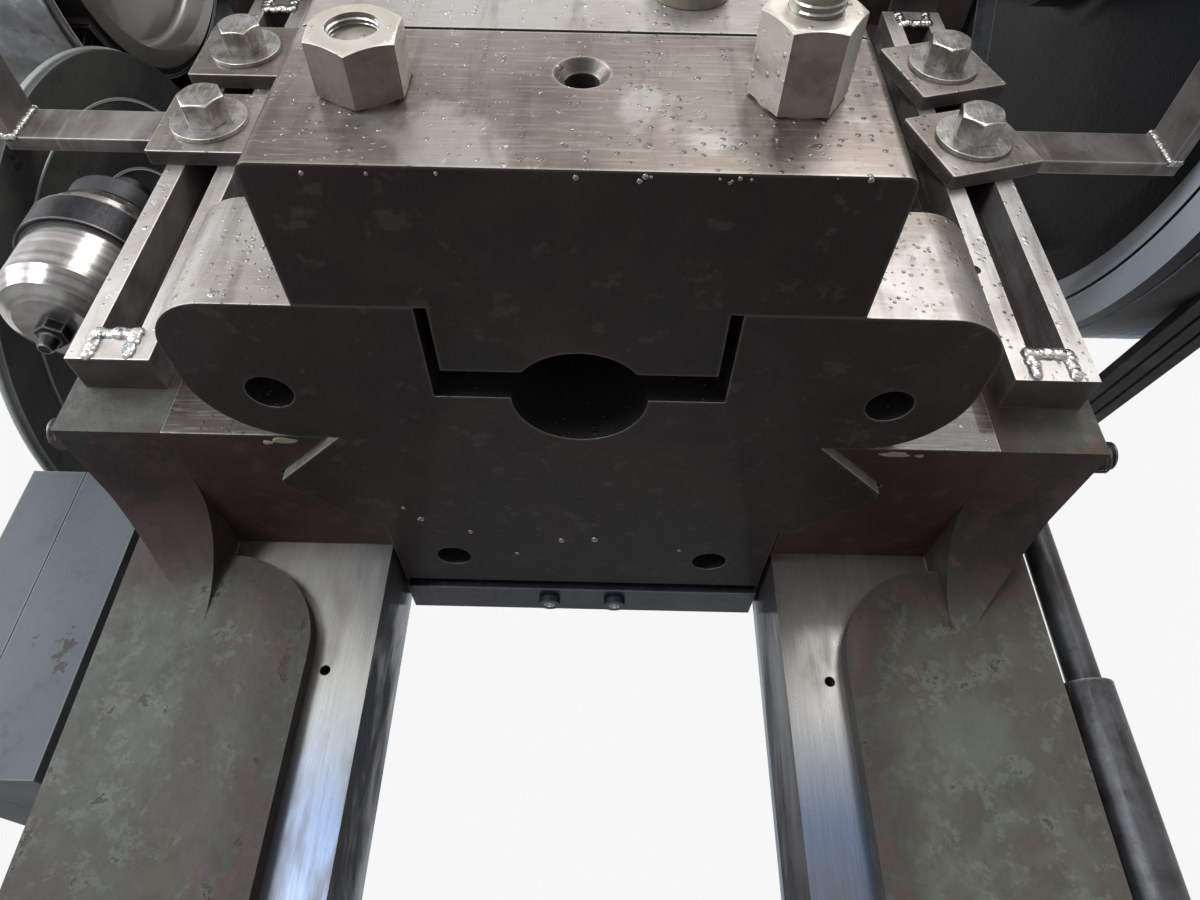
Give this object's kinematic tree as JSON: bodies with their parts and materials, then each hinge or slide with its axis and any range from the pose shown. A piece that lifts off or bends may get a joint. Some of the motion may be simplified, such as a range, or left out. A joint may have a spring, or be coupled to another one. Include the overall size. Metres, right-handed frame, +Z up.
{
  "type": "mechanical stamping press",
  "caption": "Gap-frame mechanical stamping press with an open back, V-guided ram, split shank clamp, crank drive, side flywheel and foot treadle.",
  "frame": {"origin": "on the floor, in the middle of the four anchor bolt holes", "axes": "+X to the operator's right, +Y to the back, +Z up"},
  "size_m": [1.106, 1.151, 2.19],
  "materials": {
    "cast_paint": "worn sage grey-green paint with rust and maroon patches",
    "ground_steel": "ground steel with oil stains",
    "black_steel": "black oxide steel",
    "blued_plate": "dark blue-grey plate",
    "bright_steel": "polished steel",
    "gib_iron": "oily iron with dark maroon paint on its underside",
    "bronze": "bearing bronze",
    "rail_steel": "bare light steel with weld marks",
    "bolt_steel": "bare steel, oily and worn",
    "brake_lining": "woven friction lining",
    "galvanised": "galvanised sheet with spangle",
    "shield_paint": "dull grey-green paint",
    "amber_glass": "glossy tinted reservoir",
    "black_plastic": "moulded plastic",
    "enclosure_paint": "glossy blue-grey enamel",
    "motor_paint": "grey motor enamel",
    "belt_rubber": "black rubber",
    "oily_iron": "machined iron, dark with oil",
    "clamp_steel": "bare steel with brown oil stains",
    "flywheel_iron": "black paint with a bright machined rim"
  },
  "bodies": {
    "frame": {"frame": "cast_paint", "bolster_plate": "ground_steel", "bolster_bolts": "black_steel", "rear_plate": "blued_plate", "rear_plate_screws": "bright_steel", "gib_left": "gib_iron", "gib_right": "gib_iron", "gib_bolts": "black_steel", "gib_adjusters": "black_steel", "bearing_cap_left": "cast_paint", "bearing_cap_right": "cast_paint", "bearing_cap_bolts": "black_steel", "bearing_bushings": "bronze", "guard_rail_left": "rail_steel", "guard_rail_right": "rail_steel", "rail_plates": "rail_steel", "rail_washers": "rail_steel", "rail_bolts": "bolt_steel", "guard_arms": "rail_steel", "brake_band": "black_steel", "brake_lining": "brake_lining", "brake_anchor": "black_steel", "brake_guard": "galvanised", "guard_rods": "black_steel", "side_shield": "shield_paint", "left_brackets": "black_steel", "oil_reservoir": "amber_glass", "oil_reservoir_cap": "black_plastic", "control_enclosure": "enclosure_paint", "enclosure_pins": "bright_steel", "motor": "motor_paint", "motor_bracket": "cast_paint", "v_belts": "belt_rubber", "rod_guide": "cast_paint", "trip_lever_pin": "black_steel", "trip_spring": "black_steel"},
    "ram": {"ram": "oily_iron", "shank_clamp": "clamp_steel", "clamp_studs": "bolt_steel", "clamp_nut_left": "bolt_steel", "clamp_nut_right": "bolt_steel", "ram_plug": "bolt_steel", "ball_seat": "bronze", "ball_cap": "cast_paint", "ball_cap_screws": "black_steel"},
    "crank": {"crankshaft": "bright_steel", "clutch_sleeve": "ground_steel", "brake_drum": "ground_steel", "shaft_end_nut": "black_steel"},
    "pitman": {"pitman": "cast_paint", "pitman_cap": "cast_paint", "pitman_cap_bolts": "black_steel", "adjusting_screw": "bright_steel"},
    "flywheel": {"flywheel": "flywheel_iron", "flywheel_bushing": "bronze"},
    "rotor": {"motor_sheave": "black_steel"},
    "treadle": {"treadle": "cast_paint"},
    "trip_rod": {"trip_rod": "bright_steel"},
    "trip_lever": {"trip_lever": "ground_steel"},
    "door": {"enclosure_door": "enclosure_paint"}
  },
  "joints": [
    {"name": "crank_spin", "type": "hinge", "parent": "frame", "child": "crank", "pos_m": [0, -0.05, 1.79], "axis": [1, 0, 0], "range_deg": [0, 180]},
    {"name": "pitman_swing", "type": "hinge", "parent": "crank", "child": "pitman", "pos_m": [0, -0.05, 1.8154], "axis": [1, 0, 0], "range_deg": [-180, 0]},
    {"name": "ram_slide", "type": "slide", "parent": "frame", "child": "ram", "axis": [0, 0, -1], "range_m": [0, 0.0508]},
    {"name": "flywheel_spin", "type": "hinge", "parent": "frame", "child": "flywheel", "pos_m": [0.47, -0.05, 1.79], "axis": [1, 0, 0], "continuous": true},
    {"name": "motor_spin", "type": "hinge", "parent": "frame", "child": "rotor", "pos_m": [0.48, 0.52, 1.56], "axis": [1, 0, 0], "continuous": true},
    {"name": "treadle_swing", "type": "hinge", "parent": "frame", "child": "treadle", "pos_m": [0, 0.2, 0.16], "axis": [1, 0, 0], "range_deg": [0, 6], "stiffness_Nm_per_rad": 120, "springref_deg": -34.38},
    {"name": "trip_rod_slide", "type": "slide", "parent": "frame", "child": "trip_rod", "axis": [0, 0, -1], "range_m": [0, 0.0096], "deforming": ["trip_spring"]},
    {"name": "trip_lever_swing", "type": "hinge", "parent": "frame", "child": "trip_lever", "pos_m": [0.3, 0.2, 1.56], "axis": [1, 0, 0], "range_deg": [0, 6.2]},
    {"name": "door_swing", "type": "hinge", "parent": "frame", "child": "door", "pos_m": [-0.363, 0.416, 1.166], "axis": [0, 0, -1], "range_deg": [0, 110]}
  ],
  "couplings": [
    {"joint": "pitman_swing", "follows": "crank_spin", "ratio": -1},
    {"joint": "ram_slide", "follows": "crank_spin", "m_per_rad": 0.01617},
    {"joint": "motor_spin", "follows": "flywheel_spin", "ratio": 6.8885},
    {"joint": "trip_rod_slide", "follows": "treadle_swing", "m_per_rad": 0.09},
    {"joint": "trip_lever_swing", "follows": "treadle_swing", "ratio": 1}
  ]
}
